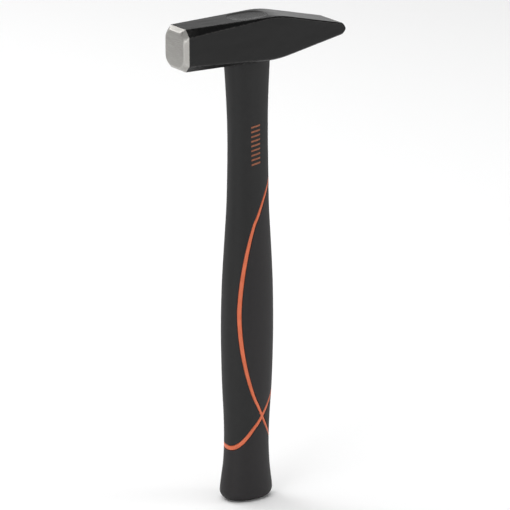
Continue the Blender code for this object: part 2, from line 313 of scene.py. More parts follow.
handle = {
    "around": 144,            # points in each ring
    "rings": 120,             # rings from the rim to the neck
    "ringsInside": 60,
    "skin": 2.2 * mm,         # thickness of the soft grip
    "buttFloor": 5.0 * mm,
    "rimUp": 6.4 * mm,        # the rounded rim of the butt: its height
    "rimIn": 6.4 * mm,        # and how far it reaches in
    "rimSteps": 14,
    "lip": 0.5 * mm,          # rounding of the top edge under the head
    "lipSteps": 5,
    "underHead": 0.12 * mm,   # the seam left under the head
    "headSlope": 0.0165,      # the head's underside rises this much towards the peen
    "leanOver": 0.1,          # the top share of the height, where the rings come to lean with it
    "squareButt": 2.2,        # squareness of the section at the butt
    "squareNeck": 2.5,        # and at the neck
    # share of the height, half depth, half width, set towards the peen, in mm
    "stations": (
        (0.000, 18.10, 13.35, -0.9), (0.027, 17.70, 13.25, -0.8), (0.048, 16.90, 12.90, -0.8),
        (0.082, 15.65, 12.20, -0.6), (0.130, 15.00, 11.85, -0.5), (0.189, 15.40, 12.05, -0.3),
        (0.254, 16.50, 12.75, -0.1), (0.315, 17.15, 13.10, 0.0), (0.401, 17.50, 13.30, 0.1),
        (0.497, 16.95, 12.80, 0.3), (0.583, 15.60, 11.70, 0.5), (0.669, 14.15, 10.40, 0.6),
        (0.748, 13.60, 9.80, 0.7), (0.833, 13.35, 9.50, 0.6), (0.909, 13.70, 9.90, 0.3),
        (1.000, 15.00, 10.80, 0.0)),
}


def smoothValue(rows, column, at):
    # A smooth curve through one column of the stations.
    last = len(rows) - 1
    k = max(i for i in range(last) if rows[i][0] <= at or i == 0)

    def slope(i):
        a, b = max(i - 1, 0), min(i + 1, last)
        return (rows[b][column] - rows[a][column]) / (rows[b][0] - rows[a][0])

    span = rows[k + 1][0] - rows[k][0]
    t = (at - rows[k][0]) / span
    rise = rows[k + 1][column] - rows[k][column]
    a = slope(k) * span - rise
    b = rise - slope(k + 1) * span
    return rows[k][column] + t * rise + t * (1 - t) * ((1 - t) * a + t * b)


def gripPoint(z, turn, inset=0.0):
    # A point of the handle's surface, or of one that lies the inset further in.
    share = min(z / handleTop, 1.0)
    depth, width, offset = (smoothValue(handle["stations"], i, share) * mm for i in (1, 2, 3))
    squareness = handle["squareButt"] + (handle["squareNeck"] - handle["squareButt"]) * share**2
    x, y = ovalPoint(depth - inset, width - inset, squareness, turn)
    return Vector((offset + x, y, z))


def gripRing(z, inset=0.0, tilt=0.0):
    # Tilt leans the ring to the slope of the head's underside.
    count = handle["around"]
    neckFront = -handle["stations"][-1][1] * mm
    ring = []
    for number in range(count):
        point = gripPoint(z, 2 * math.pi * number / count, inset)
        point.z += tilt * (point.x - neckFront)
        ring.append(point)
    return ring


def makeSkin():
    # Up the outside from the butt, over the lip under the head, and down the inside.
    up, inward, skin = handle["rimUp"], handle["rimIn"], handle["skin"]
    rings = []
    for turn in evenly(0, math.pi / 2, handle["rimSteps"])[:-1]:
        rings.append(gripRing(up * (1 - math.cos(turn)), inward * (1 - math.sin(turn))))
    lip, slope = handle["lip"], handle["headSlope"]
    top = handleTop - handle["underHead"]
    over = handle["leanOver"]
    for z in evenly(up, top - lip, handle["rings"]):
        rings.append(gripRing(z, tilt=slope * max(0, (z - (1 - over) * top) / (over * top))))
    for turn in evenly(0, math.pi / 2, handle["lipSteps"])[1:]:
        rings.append(gripRing(top - lip * (1 - math.sin(turn)), lip * (1 - math.cos(turn)), slope))
    rings.append(gripRing(top, skin, slope))
    for z in evenly(top - lip, handle["buttFloor"], handle["ringsInside"]):
        rings.append(gripRing(z, skin))
    return growBody("gripSkin", rings)


loops = {
    "leafMiddle": 127.6 * mm,     # height of the leaf's widest place
    "leafHalf": 88.5 * mm,        # half its length
    "leafWrap": 132,              # degrees that it reaches round from the rear edge
    "leafPoint": 1.20,            # above 1 its ends grow more pointed
    "loopFront": 36.3 * mm,       # height of the tilted loop at the front edge
    "loopRear": 75.8 * mm,        # and at the rear edge
    "loopDip": 1.4,               # above 1 it stays low around the front
    "wide": 2.9 * mm,             # width of the line where it swings furthest forward
    "narrow": 1.5 * mm,           # and at the rear edge
    "leafSwell": 2.4,             # the higher, the later the leaf's line grows wide
    "loopSwell": 0.7,             # and the tilted loop's
    "leafSamples": 360,
    "loopSamples": 200,
    "deep": 1.9 * mm,             # how deep the line is let into the grip
    "below": 0.20 * mm,           # its edges lie this much under the grip
    "crown": 0.24 * mm,           # and its middle stands this much over its edges
    "seam": 0.17 * mm,            # dark seam on each side
    "lip": 0.38 * mm,             # rounding of the grip's edges along the line
    "lipTurn": 72,                # degrees that this rounding turns through
    "lipSteps": 4,
    "lipEnd": 1.6,                # roundings out from the seam, where the groove's cutter ends
    "cutUnder": 0.6 * mm,         # the cutter reaches this far into the hollow of the grip
    "cutOver": (0.35 * mm, 0.8 * mm),                       # and these two heights over it
    # the line's shoulder: set in from its side, and down from its edge
    "shoulder": ((0, 0.26 * mm), (0.05 * mm, 0.12 * mm), (0.18 * mm, 0.02 * mm)),
    "crownShares": (0.66, 0.4, 0.14),                       # places of the line's top, side to middle
    "smoothAngle": 50,
}


def leafPath(turn):
    up = math.copysign(abs(math.cos(turn)) ** loops["leafPoint"], math.cos(turn))
    around = math.radians(loops["leafWrap"]) * math.sin(turn)
    swell = abs(math.sin(turn)) ** loops["leafSwell"]
    return loops["leafMiddle"] + loops["leafHalf"] * up, around, swell


def loopPath(turn):
    front = (1 - math.cos(turn)) / 2
    rise = (1 - front) ** loops["loopDip"]
    swell = front ** loops["loopSwell"]
    return loops["loopFront"] + (loops["loopRear"] - loops["loopFront"]) * rise, turn, swell


def onSurface(path, turn, step=1e-4):
    # The point on the grip, the way out of it, the way across the line, and the line's width.
    z, around, share = path(turn)
    before, after = (gripPoint(*path(turn + d)[:2]) for d in (-step, step))
    sideways = gripPoint(z, around + step) - gripPoint(z, around - step)
    along = gripPoint(z + step, around) - gripPoint(z - step, around)
    out = sideways.cross(along).normalized()
    across = (after - before).cross(out).normalized()
    width = loops["narrow"] + (loops["wide"] - loops["narrow"]) * share
    return gripPoint(z, around), out, across, width


def wrapBand(name, path, samples, outline):
    # A grid wrapped round the grip along a path. Outline gives (share of the half width,
    # added width, height over the grip) for each of its long lines, round the band's section.
    deselectAll()
    bpy.ops.mesh.primitive_grid_add(x_subdivisions=samples, y_subdivisions=len(outline), size=1)
    band = bpy.context.object
    band.name = band.data.name = name
    bpy.ops.object.mode_set(mode="EDIT")
    mesh = bmesh.from_edit_mesh(band.data)
    mesh.verts.ensure_lookup_table()
    for column in range(samples + 1):
        here, out, across, width = onSurface(path, 2 * math.pi * (column % samples + 0.5) / samples)
        for row in range(len(outline) + 1):
            share, added, height = outline[row % len(outline)]
            vert = mesh.verts[row * (samples + 1) + column]
            vert.co = here + across * (share * width / 2 + added) + out * height
    bmesh.update_edit_mesh(band.data)
    bpy.ops.mesh.select_all(action="SELECT")
    bpy.ops.mesh.remove_doubles(threshold=weld)
    bpy.ops.mesh.normals_make_consistent(inside=False)
    bpy.ops.mesh.quads_convert_to_tris(quad_method="SHORTEST_DIAGONAL")
    closeUp()
    return band


def mirrored(points):
    # Both halves of a section, from the right edge round to the left.
    return points + [(-share, -added, height) for share, added, height in reversed(points)]


def grooveOutline():
    # The groove's walls are straight below and roll outwards into a rounded lip.
    lip, gap = loops["lip"], loops["seam"]
    points = [(1, gap, -(handle["skin"] + loops["cutUnder"])), (1, gap, -lip)]
    for turn in evenly(0, math.radians(loops["lipTurn"]), loops["lipSteps"])[1:]:
        points.append((1, gap + lip * (1 - math.cos(turn)), -lip * (1 - math.sin(turn))))
    for height in loops["cutOver"]:
        points.append((1, gap + lip * loops["lipEnd"], height))
    return mirrored(points)


def lineOutline():
    # The orange line: a foot in the grip, rounded shoulders and a slightly crowned top.
    below, crown = loops["below"], loops["crown"]
    points = [(1, 0, -loops["deep"])]
    points += [(1, -setIn, -below - down) for setIn, down in loops["shoulder"]]
    points += [(share, 0, -below + crown * (1 - share**2)) for share in loops["crownShares"]]
    return mirrored(points)


def makeGrip():
    skin = makeSkin()
    print("grip skin grown")
    for name, path, samples in (("leafGroove", leafPath, loops["leafSamples"]),
                                ("loopGroove", loopPath, loops["loopSamples"])):
        cutWith(skin, wrapBand(name, path, samples, grooveOutline()))
    openUp(skin)
    bpy.ops.mesh.select_all(action="SELECT")
    bpy.ops.mesh.separate(type="LOOSE")
    closeUp()
    panels = [thing for thing in bpy.data.objects if thing.name.startswith("gripSkin")]
    panels.sort(key=lambda panel: max(vert.co.z for vert in panel.data.vertices))
    print("panels:", [(panel.name, len(panel.data.polygons)) for panel in panels])
    for panel, name in zip(panels, ("gripButt", "gripHeel", "gripPalm", "gripUpper"), strict=True):
        panel.name = panel.data.name = name
        shadeRound(panel)
    return panels


def makeLine():
    line = wrapBand("orangeLine", leafPath, loops["leafSamples"], lineOutline())
    tilted = wrapBand("tiltedLine", loopPath, loops["loopSamples"], lineOutline())
    cutWith(line, tilted, "UNION")
    shadeRound(line, loops["smoothAngle"])
    return line


head = {
    "faceTop": 26.8 * mm,          # top of the head over the handle, at the face
    "ridgeTop": 28.57 * mm,        # and at the ridge, before it is rounded
    "ridgeX": 16.8 * mm,
    "ridgeRound": 7.5 * mm,        # the ridge is rounded this far to each side
    "corner": 4.5 * mm,            # chamfer of the long corners at the face
    "slimCorner": 0.8 * mm,        # and from the ridge to the nose
    "cornerRound": 0.5 * mm,       # rounding of the chamfers' edges
    "cornerSteps": 4,              # points on each of a corner's two turns
    "cornerShare": 0.46,           # share of a chamfer's width that one rounded turn may take
    "hold": 0.8 * mm,              # a flat has its first points this far from a rounded edge
    # and no further than these shares of half the width, of the height and of a chamfer's flat
    "holdShares": (0.2, 0.1, 0.3),
    "bevelHold": (0.2, 0.8),       # the bevel's own points, as shares of its depth
    "bevel": 2.5 * mm,             # ground bevel round the face, seen from the front
    "bevelDeep": 3.0 * mm,         # and how far it runs back along the head
    "faceCorner": 3.8 * mm,        # corner of the ground face, one arc
    "crown": 0.30 * mm,            # rise of the ground face
    "faceShares": (0.06, 0.94),    # its first and last ring, from the middle outwards
    "faceSteps": 9,
    "faceArc": 1.5,                # its corners may be rounded by this many body chamfers
    "faceEdge": 0.5 * mm,          # rounding between face and bevel
    "bodyEdge": 0.35 * mm,         # rounding between bevel and body
    "edgeSteps": 5,                # rings on each of these two
    "ridgeSteps": 16,
    "flatSteps": 8,                # rings along the body, and down the wedge
    "noseThick": 7.6 * mm,         # thickness where the rounded nose begins
    "noseUp": 14.4 * mm,           # middle of the nose over the handle
    "noseBulge": 2.3 * mm,
    "noseSteps": 11,
    "noseCorner": 0.4,             # its chamfer takes at most this share of half its thickness
}
steelEnd = faceX + head["crown"] + head["bevelDeep"]     # where the ground bevel meets the body
lacquerFrom = steelEnd - 0.1 * mm                        # the lacquer just runs over its edge
slopeTurn = math.tan(math.radians(22.5))                 # a 45 degree turn's tangent over its radius


def undersideAt(x):
    neckFront = -handle["stations"][-1][1] * mm
    return handleTop + handle["headSlope"] * (x - neckFront)


def roundedTurn(start, corner, end, reach, steps):
    # A curve that rounds the corner between two straight runs, over the reach to each side.
    before = corner.lerp(start, reach / (start - corner).length)
    after = corner.lerp(end, reach / (end - corner).length)
    return [before * (1 - t) ** 2 + corner * 2 * t * (1 - t) + after * t**2 for t in evenly(0, 1, steps)]


def headRing(x, low, high, inset, chamfer, rounding):
    # Four corners, each a chamfer whose two turns are rounded. With the largest rounding each
    # corner is nearly one arc.
    half = headHalf - inset
    slant = chamfer * math.sqrt(2)
    radius = min(rounding, head["cornerShare"] * slant / slopeTurn)
    tangent = radius * slopeTurn
    turns = evenly(0, math.pi / 4, head["cornerSteps"])
    corner = [(radius * (1 - math.cos(t)), chamfer + tangent - radius * math.sin(t)) for t in turns]
    acrossShare, upShare, slantShare = head["holdShares"]
    hold = min(head["hold"], acrossShare * half, upShare * (high - low))
    onSlant = min(hold, slantShare * (slant - 2 * tangent)) / math.sqrt(2)
    corner = [(0, corner[0][1] + hold)] + corner + [(corner[-1][0] + onSlant, corner[-1][1] - onSlant)]
    corner += [(up, across) for across, up in reversed(corner)]
    ring = []
    for side, atTop in ((1, True), (-1, True), (-1, False), (1, False)):
        for across, up in corner if (side > 0) == atTop else reversed(corner):
            ring.append(Vector((x, side * (half - across), high - up if atTop else low + up)))
    return ring


def faceRings():
    # The crowned face, its bevel and the first of the body, as rings of (place, inset).
    bevel, crown = head["bevel"], head["crown"]
    faceEdge = Vector((faceX + crown, bevel))
    bodyEdge = Vector((faceX + crown + head["bevelDeep"], 0))
    flat = headHalf - bevel
    profile = []
    for share in evenly(*head["faceShares"], head["faceSteps"]):
        profile.append(Vector((faceX + crown * share**2, headHalf - flat * share)))
    along = Vector((1, 0))
    inner = roundedTurn(profile[-1], faceEdge, bodyEdge, head["faceEdge"], head["edgeSteps"])
    outer = roundedTurn(faceEdge, bodyEdge, bodyEdge + along, head["bodyEdge"], head["edgeSteps"])
    profile += inner + [inner[-1].lerp(outer[0], share) for share in head["bevelHold"]]
    profile += outer + [outer[-1] + along * head["hold"]]
    rings = []
    for x, inset in profile:
        share = min(1, inset / bevel)
        chamfer = head["corner"] + (head["faceCorner"] - head["corner"]) * share
        chamfer *= min(1, (headHalf - inset) / flat)
        arc = head["corner"] * head["faceArc"]
        rounding = head["cornerRound"] + (arc - head["cornerRound"]) * share
        high = handleTop + head["faceTop"] - inset
        rings.append(headRing(x, undersideAt(x) + inset, high, inset, chamfer, rounding))
    return rings


def bodyRings():
    # (place, underside, top) along the body, over the ridge and down the wedge to the nose.
    bodyX = steelEnd + head["bodyEdge"]
    start = Vector((bodyX, undersideAt(bodyX), handleTop + head["faceTop"]))
    ridge = Vector((head["ridgeX"], undersideAt(head["ridgeX"]), handleTop + head["ridgeTop"]))
    noseHalf, noseMiddle = head["noseThick"] / 2, handleTop + head["noseUp"]
    radius = (noseHalf**2 + head["noseBulge"] ** 2) / (2 * head["noseBulge"])
    widest = math.asin(noseHalf / radius)
    noseX = peenX - radius * (1 - math.cos(widest))
    nose = Vector((noseX, noseMiddle - noseHalf, noseMiddle + noseHalf))
    turn = roundedTurn(start, ridge, nose, head["ridgeRound"], head["ridgeSteps"])
    between = evenly(0, 1, head["flatSteps"])[1:-1]
    slim = head["slimCorner"]
    rings = []
    for share in between:
        chamfer = head["corner"] + (slim - head["corner"]) * share
        rings.append(headRing(*start.lerp(turn[0], share), 0, chamfer, head["cornerRound"]))
    for place in turn + [turn[-1].lerp(nose, share) for share in between]:
        rings.append(headRing(*place, 0, slim, head["cornerRound"]))
    steps = head["noseSteps"]
    for angle in evenly(widest, widest / (steps + 1), steps):
        x, rise = peenX - radius * (1 - math.cos(angle)), radius * math.sin(angle)
        chamfer = min(slim, head["noseCorner"] * rise)
        rings.append(headRing(x, noseMiddle - rise, noseMiddle + rise, 0, chamfer, head["cornerRound"]))
    return rings


eye = {
    "depth": 25.6 * mm,            # along the head, at the waist
    "width": 17.2 * mm,
    "flare": 0.6 * mm,             # each wall leans out this much towards top and bottom
    "squareness": 2.6,
    "around": 72,
    "mouth": 0.35 * mm,            # rounding of the top mouth
    "mouthTurn": 80,               # degrees that it turns through
    "mouthSteps": 5,
    "cutOut": 1.1,                 # the cutter ends this many roundings out from the eye's wall
    "cutUnder": 4 * mm,            # and reaches this far below the head
    "cutOver": 3 * mm,             # and above it
    "sunk": 0.14 * mm,             # the resin's edge lies this much under the head's top
    "dish": 0.22 * mm,             # and its middle this much lower
    "dishFlat": 6,                 # the higher, the flatter the dish's middle
    "dishShares": (0.06, 0.25, 0.45, 0.65, 0.8, 0.9, 0.95, 0.98, 1.0),     # its rings
    "seam": 0.05 * mm,
    "tangX": 11.3 * mm,            # half sizes of the tang and of the core in the eye
    "tangY": 7.1 * mm,
    "coreX": 8.3 * mm,
    "coreY": 4.1 * mm,
}


def eyeRing(grow, heightOf, halfX=None, halfY=None):
    # An oval ring; heightOf gives each point's height from where it stands.
    halfX = (eye["depth"] / 2 if halfX is None else halfX) + grow
    halfY = (eye["width"] / 2 if halfY is None else halfY) + grow
    ring = []
    for number in range(eye["around"]):
        turn = 2 * math.pi * number / eye["around"]
        x, y = ovalPoint(halfX, halfY, eye["squareness"], turn)
        ring.append(Vector((x, y, heightOf(x, y))))
    return ring


def topOf(piece):
    # Height of the piece's top over any place, read before the eye is cut.
    tops = {}

    def heightOf(x, y):
        spot = (round(x, 6), round(y, 6))
        if spot not in tops:
            tops[spot] = piece.ray_cast(Vector((x, y, 1)), Vector((0, 0, -1)))[1].z
        return tops[spot]

    return heightOf


def eyeFlare(z):
    waist = handleTop + head["ridgeTop"] / 2
    return eye["flare"] * abs(z - waist) / (head["ridgeTop"] / 2)


def cutEye(piece, topAt):
    mouth = eye["mouth"]
    low, waist = handleTop - eye["cutUnder"], handleTop + head["ridgeTop"] / 2
    rings = [eyeRing(eyeFlare(low), lambda x, y: low), eyeRing(0, lambda x, y: waist)]
    for turn in evenly(0, math.radians(eye["mouthTurn"]), eye["mouthSteps"]):
        drop = mouth * (1 - math.sin(turn))
        grow = eye["flare"] + mouth * (1 - math.cos(turn))
        rings.append(eyeRing(grow, lambda x, y, drop=drop: topAt(x, y) - drop))
    grow = eye["flare"] + mouth * eye["cutOut"]
    rings.append(eyeRing(grow, lambda x, y: topAt(x, y) + eye["cutOver"]))
    cutWith(piece, growBody("eyeTool", rings))


def makeEyeFill(topAt):
    # Resin: dished top, down the eye's wall, and up inside round the tang and the core.
    edge = eye["flare"] - eye["seam"]
    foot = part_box("eye_fill")[0].z
    waist = handleTop + head["ridgeTop"] / 2
    tangTop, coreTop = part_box("core_jacket")[1].z + seam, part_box("fibreglass_core")[1].z + seam
    halfX, halfY = eye["depth"] / 2 + edge, eye["width"] / 2 + edge
    rings = []
    for share in eye["dishShares"]:
        drop = eye["sunk"] + eye["dish"] * (1 - share ** eye["dishFlat"])
        rings.append(eyeRing(0, lambda x, y, drop=drop: topAt(x, y) - drop, halfX * share, halfY * share))
    rings.append(eyeRing(-eye["seam"], lambda x, y: waist))
    rings.append(eyeRing(eyeFlare(foot) - eye["seam"], lambda x, y: foot))
    for part, z in (("tang", foot), ("tang", tangTop), ("core", tangTop), ("core", coreTop)):
        rings.append(eyeRing(seam, lambda x, y, z=z: z, eye[part + "X"], eye[part + "Y"]))
    fill = growBody("eyeFill", rings)
    shadeRound(fill)
    return fill


def makeHead():
    piece = growBody("hammerHead", faceRings() + bodyRings())
    topAt = topOf(piece)
    fill = makeEyeFill(topAt)
    markEdges(piece, edgeGlintTurn["headTurn"])
    cutEye(piece, topAt)
    shadeRound(piece)
    return piece, fill


def paintByFace(piece, test):
    # Second material on the faces whose middle passes the test.
    for face in piece.data.polygons:
        face.material_index = 1 if test(face.center) else 0


mark = {
    "bars": 9,
    "low": 224.5 * mm,
    "high": 250.0 * mm,
    "middle": 270.6,               # degrees round the grip from the peen side
    "halfTurn": 10.5,              # half its breadth, in degrees
    "slant": 1.2 * mm,
    "bar": 1.1 * mm,               # height of a bar
    "thick": 0.06 * mm,
    "proud": 0.02 * mm,            # its underside lies this much over the grip
    "steps": 12,                   # a bar bends round the grip in this many
}


def makeMark():
    # Plain slanted bars, each a small grid laid on the grip.
    pitch = (mark["high"] - mark["low"] - mark["bar"]) / (mark["bars"] - 1)
    bars = []
    for number in range(mark["bars"]):
        deselectAll()
        bpy.ops.mesh.primitive_grid_add(x_subdivisions=mark["steps"], y_subdivisions=2, size=1)
        bar = bpy.context.object
        foot = mark["low"] + pitch * number
        for vert in bar.data.vertices:
            across, up = vert.co.x, vert.co.y
            z = foot + mark["bar"] * (up + 0.5) + mark["slant"] * (across + 0.5)
            turn = math.radians(mark["middle"] + 2 * mark["halfTurn"] * across)
            vert.co = gripPoint(z, turn, -mark["proud"])
        bpy.ops.object.modifier_add(type="SOLIDIFY")
        bar.modifiers[-1].thickness = mark["thick"]
        bar.modifiers[-1].offset = 1
        bpy.ops.object.modifier_apply(modifier=bar.modifiers[-1].name)
        bars.append(bar)
    deselectAll()
    for bar in bars:
        bar.select_set(True)
    bpy.context.view_layer.objects.active = bars[0]
    bpy.ops.object.join()
    whole = bars[0]
    whole.name = whole.data.name = "gripMark"
    shadeRound(whole)
    return whole


lacquer = {
    "mirror": 0.36,                # strength of its clear reflection
    "waves": {"Coarse Scale": 55, "Fine Scale": 420, "Stretch": (0.45, 1, 1), "Fine Share": 0.25},
    "peel": {"Coarse Scale": 900, "Fine Scale": 3200, "Fine Share": 0.5},
    "wornAndGlint": {"Amount": 0.45, "Break Up": 500},
    "tones": ((0.3, (0.0030, 0.0030, 0.0031)), (0.7, (0.0050, 0.0050, 0.0051))),
    "lacquerEdgeHighlight": (0.085, 0.083, 0.080, 1),           # painted highlight: lighter colour along the edges
    "rough": {"To Min": 0.17, "To Max": 0.31},
    "roughWorn": 0.45,
    "waveBump": {"Strength": 0.5, "Distance": 0.0008},
    "peelBump": {"Strength": 0.14, "Distance": 0.00002},
}


def lacquerMaterial():
    # Sprayed black lacquer over forged steel: slow waves, a fine orange peel, a painted highlight and a
    # duller gloss on the edges.
    material, tree, shader = newMaterial("blackLacquer")
    link = tree.links.new
    shader.inputs["Specular IOR Level"].default_value = lacquer["mirror"]
    waves = useGroup(tree, mottle, (-4, 3), lacquer["waves"])
    peel = useGroup(tree, mottle, (-4, 0), lacquer["peel"])
    wornAndGlint = useGroup(tree, edgeWearAndGlint, (-4, -2), lacquer["wornAndGlint"])
    tone = addNode(tree, "ShaderNodeValToRGB", (-1, 3))
    rampOf(tone, lacquer["tones"])
    # Painted highlight: the colour turns lighter along the edges.
    lacquerEdgeHighlight = addNode(tree, "ShaderNodeMix", (2, 3), data_type="RGBA")
    lacquerEdgeHighlight.inputs["B"].default_value = lacquer["lacquerEdgeHighlight"]
    gloss = addNode(tree, "ShaderNodeMapRange", (-1, 1), lacquer["rough"])
    dull = addNode(tree, "ShaderNodeMix", (2, 1), {"B": lacquer["roughWorn"]}, data_type="FLOAT")
    slow = addNode(tree, "ShaderNodeBump", (2, -1), lacquer["waveBump"])
    fine = addNode(tree, "ShaderNodeBump", (4, -1), lacquer["peelBump"])
    link(waves.outputs["Mask"], tone.inputs["Fac"])
    link(tone.outputs["Color"], lacquerEdgeHighlight.inputs["A"])
    link(wornAndGlint.outputs["Mask"], lacquerEdgeHighlight.inputs["Factor"])
    link(lacquerEdgeHighlight.outputs["Result"], shader.inputs["Base Color"])
    link(peel.outputs["Mask"], gloss.inputs["Value"])
    link(gloss.outputs["Result"], dull.inputs["A"])
    link(wornAndGlint.outputs["Mask"], dull.inputs["Factor"])
    link(dull.outputs["Result"], shader.inputs["Roughness"])
    link(waves.outputs["Coarse"], slow.inputs["Height"])
    link(peel.outputs["Mask"], fine.inputs["Height"])
    link(slow.outputs["Normal"], fine.inputs["Normal"])
    link(fine.outputs["Normal"], shader.inputs["Normal"])
    return material


steel = {
    "lines": {"Coarse Scale": 260, "Fine Scale": 900, "Stretch": (9, 0.35, 9), "Fine Share": 0.5},
    "clouds": {"Coarse Scale": 120, "Fine Scale": 800, "Fine Share": 0.25},
    "wornAndGlint": {"Amount": 0.5, "Break Up": 900},
    "tones": ((0.30, (0.29, 0.282, 0.266)), (0.52, (0.365, 0.356, 0.338)), (0.75, (0.45, 0.441, 0.420))),
    "steelEdgeHighlight": (0.66, 0.65, 0.63, 1),            # painted highlight: lighter colour along the edges
    "rough": {"To Min": 0.36, "To Max": 0.56},
    "scratchBump": {"Strength": 0.5, "Distance": 0.00003},
}


def groundSteelMaterial():
    # Belt ground steel: long fine scratches one way, a few deeper ones, and a slight cloudiness.
    material, tree, shader = newMaterial("groundSteel")
    link = tree.links.new
    shader.inputs["Metallic"].default_value = 1.0
    lines = useGroup(tree, mottle, (-4, 3), steel["lines"])
    clouds = useGroup(tree, mottle, (-4, 0), steel["clouds"])
    wornAndGlint = useGroup(tree, edgeWearAndGlint, (-4, -2), steel["wornAndGlint"])
    tone = addNode(tree, "ShaderNodeValToRGB", (-1, 3))
    rampOf(tone, steel["tones"])
    # Painted highlight: the colour turns lighter along the edges.
    steelEdgeHighlight = addNode(tree, "ShaderNodeMix", (2, 3), data_type="RGBA")
    steelEdgeHighlight.inputs["B"].default_value = steel["steelEdgeHighlight"]
    gloss = addNode(tree, "ShaderNodeMapRange", (-1, 1), steel["rough"])
    scratch = addNode(tree, "ShaderNodeBump", (2, -1), steel["scratchBump"])
    link(lines.outputs["Mask"], tone.inputs["Fac"])
    link(tone.outputs["Color"], steelEdgeHighlight.inputs["A"])
    link(wornAndGlint.outputs["Mask"], steelEdgeHighlight.inputs["Factor"])
    link(steelEdgeHighlight.outputs["Result"], shader.inputs["Base Color"])
    link(clouds.outputs["Mask"], gloss.inputs["Value"])
    link(gloss.outputs["Result"], shader.inputs["Roughness"])
    link(lines.outputs["Mask"], scratch.inputs["Height"])
    link(scratch.outputs["Normal"], shader.inputs["Normal"])
    return material


finishes = {
    # dark and light tone, roughness, coarse and fine grain, its depth in metres
    "castResin": {
        "dark": (0.008, 0.008, 0.008), "light": (0.014, 0.014, 0.014), "rough": (0.16, 0.34),
        "grain": (160, 1400), "depth": 0.00012, "fineShare": 0.3},
    "softGrip": {
        "dark": (0.0108, 0.0108, 0.0110), "light": (0.0136, 0.0136, 0.0138), "rough": (0.56, 0.70),
        "grain": (240, 3200), "depth": 0.00009, "fineShare": 0.7, "wornAndGlint": 0.25, "mirror": 0.36},
    "softPalm": {
        "dark": (0.0132, 0.0118, 0.0126), "light": (0.0162, 0.0146, 0.0154), "rough": (0.54, 0.68),
        "grain": (240, 3200), "depth": 0.00009, "fineShare": 0.7, "wornAndGlint": 0.25, "mirror": 0.36},
    "orangeLine": {
        "dark": (0.62, 0.122, 0.044), "light": (0.71, 0.152, 0.059), "rough": (0.32, 0.44),
        "grain": (180, 2600), "depth": 0.00003},
    "markInk": {
        "dark": (0.20, 0.062, 0.028), "light": (0.34, 0.110, 0.048), "rough": (0.5, 0.65),
        "grain": (900, 4200), "depth": 0.00002},
    "sealRubber": {
        "dark": (0.012, 0.012, 0.012), "light": (0.020, 0.020, 0.020), "rough": (0.70, 0.85),
        "grain": (500, 2500), "depth": 0.00008},
    "fibreglass": {
        "dark": (0.52, 0.50, 0.33), "light": (0.72, 0.70, 0.52), "rough": (0.35, 0.60),
        "grain": (700, 2600), "depth": 0.00010, "stretch": (1, 1, 0.03)},
    "hardPlastic": {
        "dark": (0.012, 0.012, 0.012), "light": (0.020, 0.020, 0.021), "rough": (0.35, 0.50),
        "grain": (220, 1800), "depth": 0.00004},
}
grainSpread = {"tone": (0.32, 0.68), "rough": (0.3, 0.7)}     # the part of the noise that is used
grainBump = 0.5
edgeSheenLight = 2.2              # painted sheen: edges are this much lighter
edgeSheenBreak = 600              # and break up at this scale


def plainMaterial(name, dark, light, rough, grain, depth, stretch=(1, 1, 1), fineShare=0.5,
                  wornAndGlint=0.0, mirror=0.5):
    # A moulded, cast or pulled surface: two tones, a roughness that varies, and a grain.
    material, tree, shader = newMaterial(name)
    shader.inputs["Specular IOR Level"].default_value = mirror
    link = tree.links.new
    skin = useGroup(tree, mottle, (-4, 2), {"Coarse Scale": grain[0], "Fine Scale": grain[1],
                                           "Stretch": stretch, "Fine Share": fineShare})
    tone = addNode(tree, "ShaderNodeValToRGB", (-1, 3))
    rampOf(tone, zip(grainSpread["tone"], (dark, light)))
    least, most = grainSpread["rough"]
    gloss = addNode(tree, "ShaderNodeMapRange", (-1, 1), {"From Min": least, "From Max": most,
                                                         "To Min": rough[0], "To Max": rough[1]})
    bump = addNode(tree, "ShaderNodeBump", (2, -1), {"Strength": grainBump, "Distance": depth})
    link(skin.outputs["Coarse"], tone.inputs["Fac"])
    link(skin.outputs["Mask"], gloss.inputs["Value"])
    link(gloss.outputs["Result"], shader.inputs["Roughness"])
    link(skin.outputs["Mask"], bump.inputs["Height"])
    link(bump.outputs["Normal"], shader.inputs["Normal"])
    # Painted sheen: where set, the colour turns lighter along the edges.
    if wornAndGlint:
        edgeSheen = useGroup(tree, edgeWearAndGlint, (-4, -2), {"Amount": wornAndGlint, "Break Up": edgeSheenBreak})
        shine = addNode(tree, "ShaderNodeMix", (2, 3), data_type="RGBA")
        shine.inputs["B"].default_value = (*(min(1, value * edgeSheenLight) for value in light), 1)
        link(tone.outputs["Color"], shine.inputs["A"])
        link(edgeSheen.outputs["Mask"], shine.inputs["Factor"])
        link(shine.outputs["Result"], shader.inputs["Base Color"])
    else:
        link(tone.outputs["Color"], shader.inputs["Base Color"])
    return material


def carryOver(node, material):
    # A piece of the frame that stays as it is and takes a new finish.
    piece = frame["nodes"][node]
    for slot in piece.material_slots:
        slot.material = material


blackLacquer = lacquerMaterial()
groundSteel = groundSteelMaterial()
finish = {name: plainMaterial(name, **values) for name, values in finishes.items()}
print("materials mixed")

piece, fill = makeHead()
fitPiece(piece, "head_lacquer", [blackLacquer, groundSteel], "hammer_head")
paintByFace(piece, lambda middle: middle.x < lacquerFrom)
fitPiece(fill, "cast_resin", [finish["castResin"]], "eye_fill")
print("head ground and lacquered:", len(piece.data.polygons), "faces")

for panel, node, name in zip(makeGrip(), ("grip_butt", "grip_heel", "grip_palm", "grip_upper"),
                             ("softPalm", "softGrip", "softPalm", "softGrip")):
    markEdges(panel, edgeGlintTurn["gripTurn"])
    fitPiece(panel, "soft_grip", [finish[name]], node)
print("grip panels parted")
fitPiece(makeLine(), "orange_accent", [finish["orangeLine"]], "accent_inlay")
fitPiece(makeMark(), "orange_accent", [finish["markInk"]])
print("orange line and mark laid in")
carryOver("eye_seal", finish["sealRubber"])
carryOver("fibreglass_core", finish["fibreglass"])
carryOver("core_jacket", finish["hardPlastic"])


